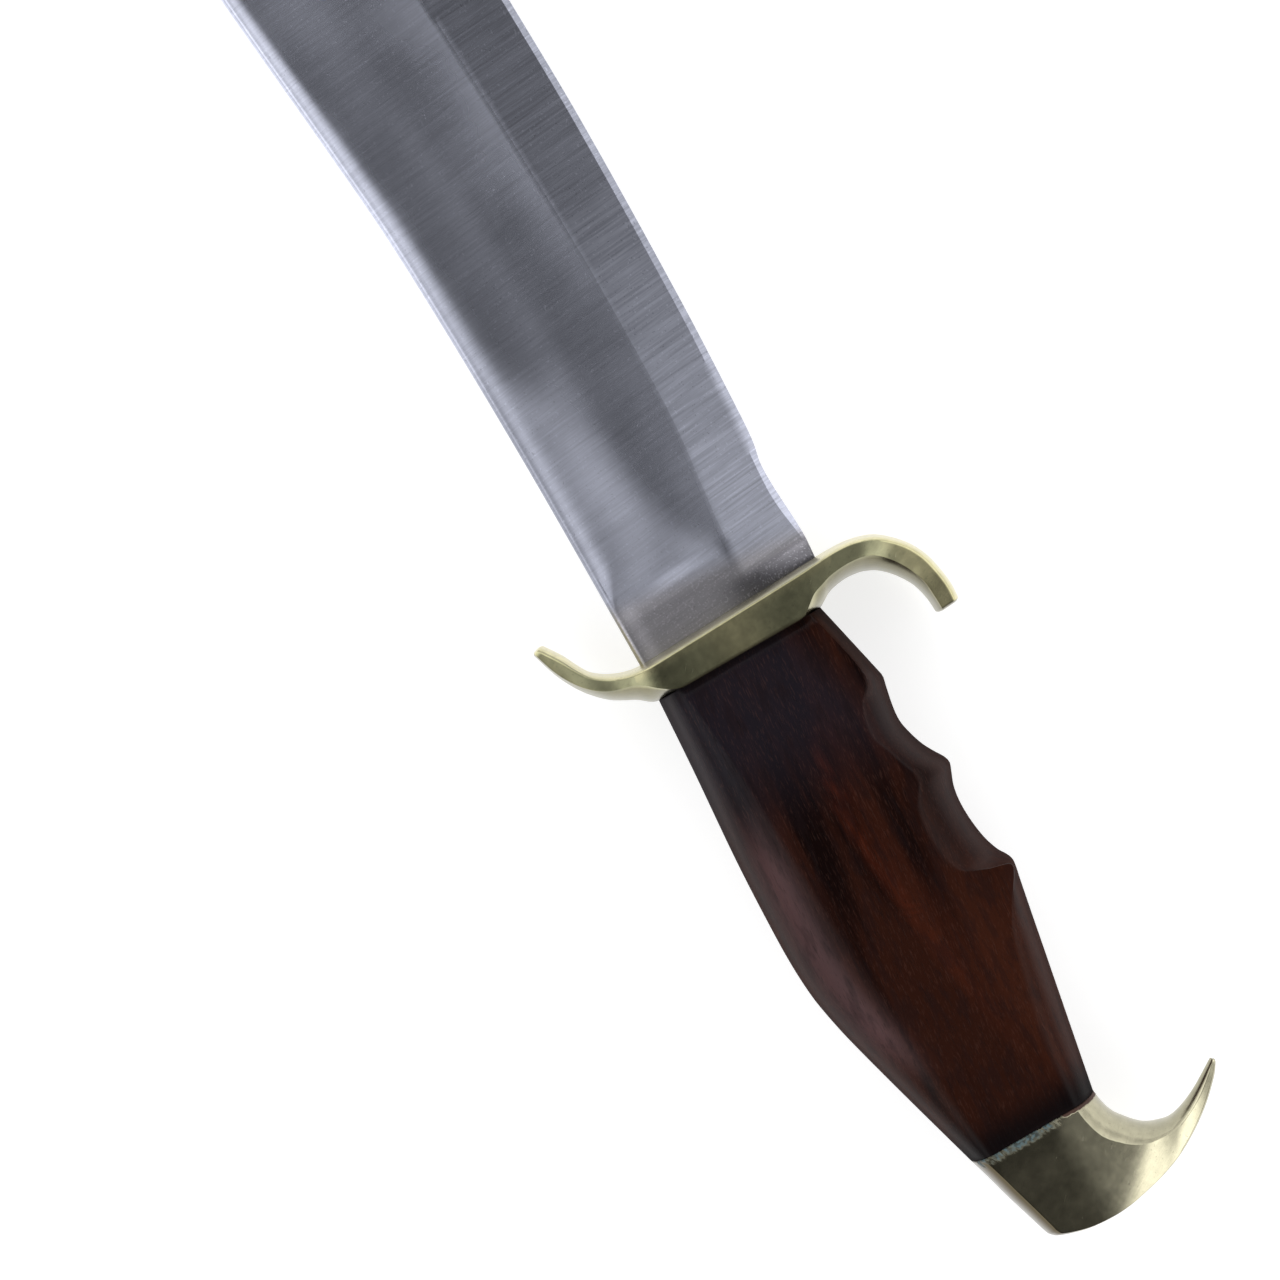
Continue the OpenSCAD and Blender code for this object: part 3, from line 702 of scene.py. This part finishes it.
def pommel_look():
    """Cast brass with verdigris creeping out of the joint with the wood, with painted shade and highlights.
    """
    g = Graph("pommel_brass")
    # The second colour is the shaded colour used for painted shade
    colour, rough, relief = brass_base(g, (0.70, 0.66, 0.47), g.layer("dull"), (0.26, 0.24, 0.165))
    # Painted shade: the spine-side chamfer turns tan-brown
    colour = g.mix(g.layer("tan"), colour, (0.095, 0.073, 0.034))
    ragged = g.noise((2.6, 0.8, 2), 5, turn=25, seed=9)
    salts = g.step(g.times(g.layer("corroded"), g.between(ragged, -0.6, 2.0)), 0.2, 0.9)
    crust = g.step(g.times(g.layer("grubby"), g.between(ragged, 0.3, 1.6)), 0.4, 0.6)
    tint = g.mix(g.step(g.noise(0.7, 2, seed=14), 0.4, 0.6), (0.03, 0.04, 0.035), (0.08, 0.135, 0.15))
    colour = g.mix(crust, g.mix(salts, colour, tint), (0.06, 0.025, 0.015))
    cover = g.math("MAXIMUM", salts, crust)
    g.relief(*relief, (g.times(cover, g.noise(0.5, 3)), 0.12))
    return g.finish(Base_Color=colour, Roughness=g.plus(rough, g.times(cover, 0.5)),
                    Metallic=g.between(cover, 1.0, 0.0))


def wood_look():
    """Lacquered rosewood: near-black and red-brown bands along the grip, fine grain and pores, with painted
    glints, a painted highlight band by the spine, a painted cool reflection near the guard, painted light on
    the steep sides and painted shade by the guard.
    """
    g = Graph("rosewood")
    layers = ("streak", "belly", "warm", "cool", "ends", "flank", "bloom", "steep")
    streak, belly, warm, cool, ends, flank, bloom, steep = map(g.layer, layers)
    bands = g.noise((55, 4.5, 6), 3, turn=-3, seed=4)
    grain = g.noise((9, 0.45, 0.6), 3, turn=-3, seed=17)
    flecks = g.step(g.noise((3.2, 0.22, 0.3), 1, turn=-3, seed=27), 0.62, 0.7)
    # Painted glints: short light reddish streaks in the grain
    glints = g.step(g.noise((1.8, 0.2, 0.3), 1, turn=-7, seed=37), 0.58, 0.68)
    blotches = g.step(g.noise((7, 1.8, 2.5), 3, turn=-5, seed=43), 0.48, 0.62)
    tone = g.step(g.plus(bands, g.times(grain, 0.22), g.times(warm, 0.16), -0.11), 0.40, 0.72)
    colour = g.mix(tone, (0.005, 0.0018, 0.0016), (0.024, 0.0068, 0.0038))
    colour = g.mix(g.times(streak, g.between(grain, 0.3, 1.1)), colour, (0.06, 0.012, 0.005))
    colour = g.mix(g.times(belly, g.between(bands, 0.1, 1.0)), colour, (0.048, 0.013, 0.0065))
    # Painted light on the steep sides
    colour = g.mix(g.times(flank, 0.6), colour, (0.036, 0.013, 0.010))
    # Painted highlight band by the spine
    colour = g.mix(g.times(bloom, g.between(bands, 0.6, 1.0)), colour, (0.095, 0.05, 0.052))
    # Painted reflection near the guard
    colour = g.mix(g.times(cool, 0.8), colour, (0.014, 0.0115, 0.0165))
    colour = g.mix(g.times(blotches, 0.35), colour, (0.010, 0.0055, 0.006))
    colour = g.mix(g.times(flecks, 0.35), colour, (0.003, 0.002, 0.002))
    # Painted glints, weaker over the blotches
    colour = g.mix(g.times(glints, g.between(blotches, 0.12, 0.06)), colour, (0.13, 0.06, 0.045))
    # Darkens both ends: painted shade by the guard, darker wood by the pommel
    colour = g.mix(g.times(ends, 0.9), colour, (0.003, 0.0025, 0.003))
    rough = g.plus(0.15, g.times(grain, 0.06), g.times(warm, 0.03), g.times(flank, 0.25),
                   g.times(steep, 0.55))
    g.relief((grain, 0.005), (g.math("MULTIPLY", flecks, -1.0), 0.008))
    return g.finish(Base_Color=colour, Roughness=rough, Specular_IOR_Level=0.08)


def zinc_look():
    g = Graph("zinc_plate")
    grain = g.noise(0.8, 3, seed=1)
    g.relief((grain, 0.01))
    return g.finish(Base_Color=g.mix(grain, (0.42, 0.43, 0.42), (0.62, 0.62, 0.58)),
                    Roughness=g.between(grain, 0.25, 0.5), Metallic=1.0)


def epoxy_look():
    g = Graph("dark_epoxy")
    lumps = g.noise(2.5, 3, seed=1)
    g.relief((lumps, 0.15))
    return g.finish(Base_Color=g.mix(lumps, (0.012, 0.011, 0.010), (0.04, 0.035, 0.03)),
                    Roughness=g.between(lumps, 0.25, 0.55))


def floor_look():
    g = Graph("floor_white")
    speck = g.noise(3, 2)
    return g.finish(Base_Color=g.mix(speck, (0.48, 0.48, 0.48), (0.50, 0.50, 0.50)), Roughness=0.9,
                    Emission_Color=(1.0, 1.0, 1.0), Emission_Strength=0.72)


# ----------------------------------------------------------------------------------------------------
# Floor, light and camera
# ----------------------------------------------------------------------------------------------------
def floor():
    bpy.ops.mesh.primitive_plane_add(size=8, location=(0, 0, 0))
    plane = bpy.context.object
    plane.name = "floor"
    plane.data.materials.append(floor_look())


def studio():
    """A white tent with a dark hole straight above for the lens, and a softbox each side of it."""
    made = bpy.data.worlds.new("studio")
    bpy.context.scene.world = made
    made.use_nodes = True
    tree = made.node_tree
    tree.nodes.clear()

    def node(kind, **settings):
        new = tree.nodes.new("ShaderNode" + kind)
        for key, value in settings.items():
            setattr(new, key, value)
        return new

    def ramp(source, stops):
        """Brightness by the source's value, straight from stop to stop.

        A ramp holds up to 1, so it is scaled afterwards."""
        most = max(level for _, level in stops)
        new = node("ValToRGB")
        while len(new.color_ramp.elements) < len(stops):
            new.color_ramp.elements.new(0.5)
        for element, (place, level) in zip(new.color_ramp.elements, stops):
            element.position = place
            element.color = (*[level / most] * 3, 1)
        tree.links.new(source, new.inputs["Fac"])
        scaled = node("Math", operation="MULTIPLY")
        tree.links.new(new.outputs["Color"], scaled.inputs[0])
        scaled.inputs[1].default_value = most
        return scaled.outputs[0]

    def off(*angles_and_levels):
        """Stops of a ramp over the cosine of an angle, from pairs of degrees and level, widest first."""
        return [(math.cos(math.radians(angle)), level) for angle, level in angles_and_levels]

    toward = node("TexCoord").outputs["Generated"]
    split = node("SeparateXYZ")
    tree.links.new(toward, split.inputs[0])
    tent = ramp(split.outputs["Z"], off((90, 0.6), (75, 0.9), (60, 1.8), (45, 2.0), (35, 1.0), (25, 0.25),
                                        (15, 0.08), (0, 0.08)))
    total = tent
    for toward_box, stops in (((-0.05, -0.27, 0.96), off((90, 0), (17, 0), (12, 0.12), (6, 0.44), (0, 0.6))),
                              ((-0.02, 0.39, 0.92), off((90, 0), (13, 0), (7, 1.2), (0, 1.6)))):
        box = node("VectorMath", operation="DOT_PRODUCT")
        tree.links.new(toward, box.inputs[0])
        box.inputs[1].default_value = Vector(toward_box).normalized()
        added = node("Math", operation="ADD")
        tree.links.new(total, added.inputs[0])
        tree.links.new(ramp(box.outputs["Value"], stops), added.inputs[1])
        total = added.outputs[0]
    back = node("Background")
    tree.links.new(total, back.inputs["Strength"])
    tree.links.new(back.outputs[0], node("OutputWorld").inputs["Surface"])


def camera():
    """Straight above the knife, turned by 30 degrees, through a long lens."""
    aim = Vector((6.73, 17.5, MID_Z)) * MM
    shown, distance = 249.6 * MM, 0.9
    data = bpy.data.cameras.new("camera")
    data.sensor_width = 36
    data.lens = data.sensor_width * distance / shown
    made = bpy.data.objects.new("camera", data)
    bpy.context.scene.collection.objects.link(made)
    turn = math.radians(30)
    axes = Matrix(((-math.sin(turn), -math.cos(turn), 0), (math.cos(turn), -math.sin(turn), 0), (0, 0, 1)))
    made.matrix_world = Matrix.Translation(aim + Vector((0, 0, distance))) @ axes.transposed().to_4x4()
    bpy.context.scene.camera = made


# ----------------------------------------------------------------------------------------------------
# The scene
# ----------------------------------------------------------------------------------------------------
camera()
studio()
floor()
bpy.context.scene.view_settings.view_transform = "Standard"

outer_looks = ((blade, steel_look, "blade", "blade_steel"), (guard, guard_look, "guard", "guard_brass"),
               (grip, wood_look, "grip", "grip_wood"), (pommel, pommel_look, "pommel", "pommel_brass"))
for build, look, node, slot in outer_looks:
    piece = build()
    piece.data.materials.clear()
    piece.data.materials.append(look())
    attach(piece, "root")
    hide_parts(node)

inner_looks = ((zinc_look(), ("tang_rod", "clamp_washer", "clamp_nut")),
               (epoxy_look(), ("tang_bedding", "pommel_epoxy")))
for material, names in inner_looks:
    for name in names:
        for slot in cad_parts[name].material_slots:
            slot.material = material
